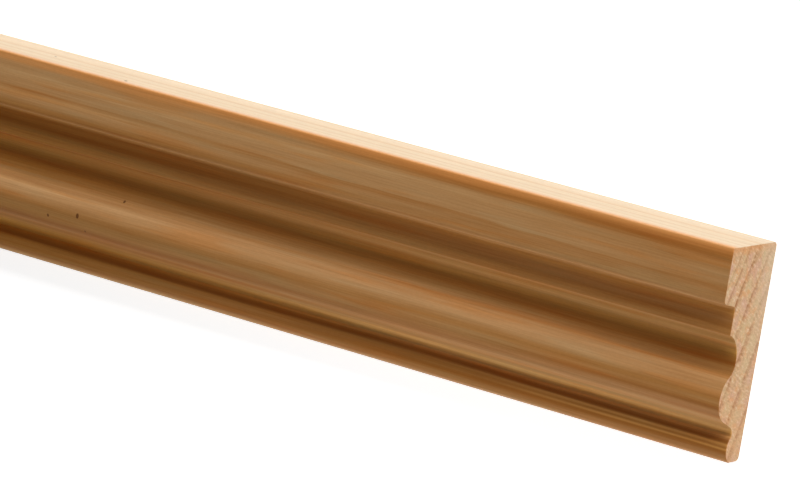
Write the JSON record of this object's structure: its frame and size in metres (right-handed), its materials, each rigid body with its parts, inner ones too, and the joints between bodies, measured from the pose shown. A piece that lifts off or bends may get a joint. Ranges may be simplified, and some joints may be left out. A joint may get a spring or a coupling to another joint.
{
  "type": "base moulding",
  "caption": "Straight length of planed pine base moulding with a flat back and a stepped face of flat band, fillet, cove, bead, quirk and nose.",
  "frame": {"origin": "middle of the length and of the width, on the flat back that the length lies on", "axes": "+X along the length, +Y across the width towards the thick edge, +Z from the back towards the moulded face"},
  "size_m": [2.4, 0.045, 0.018],
  "materials": {
    "pine": "planed, unfinished"
  },
  "bodies": {
    "root": {"base_moulding": "pine"}
  },
  "joints": []
}
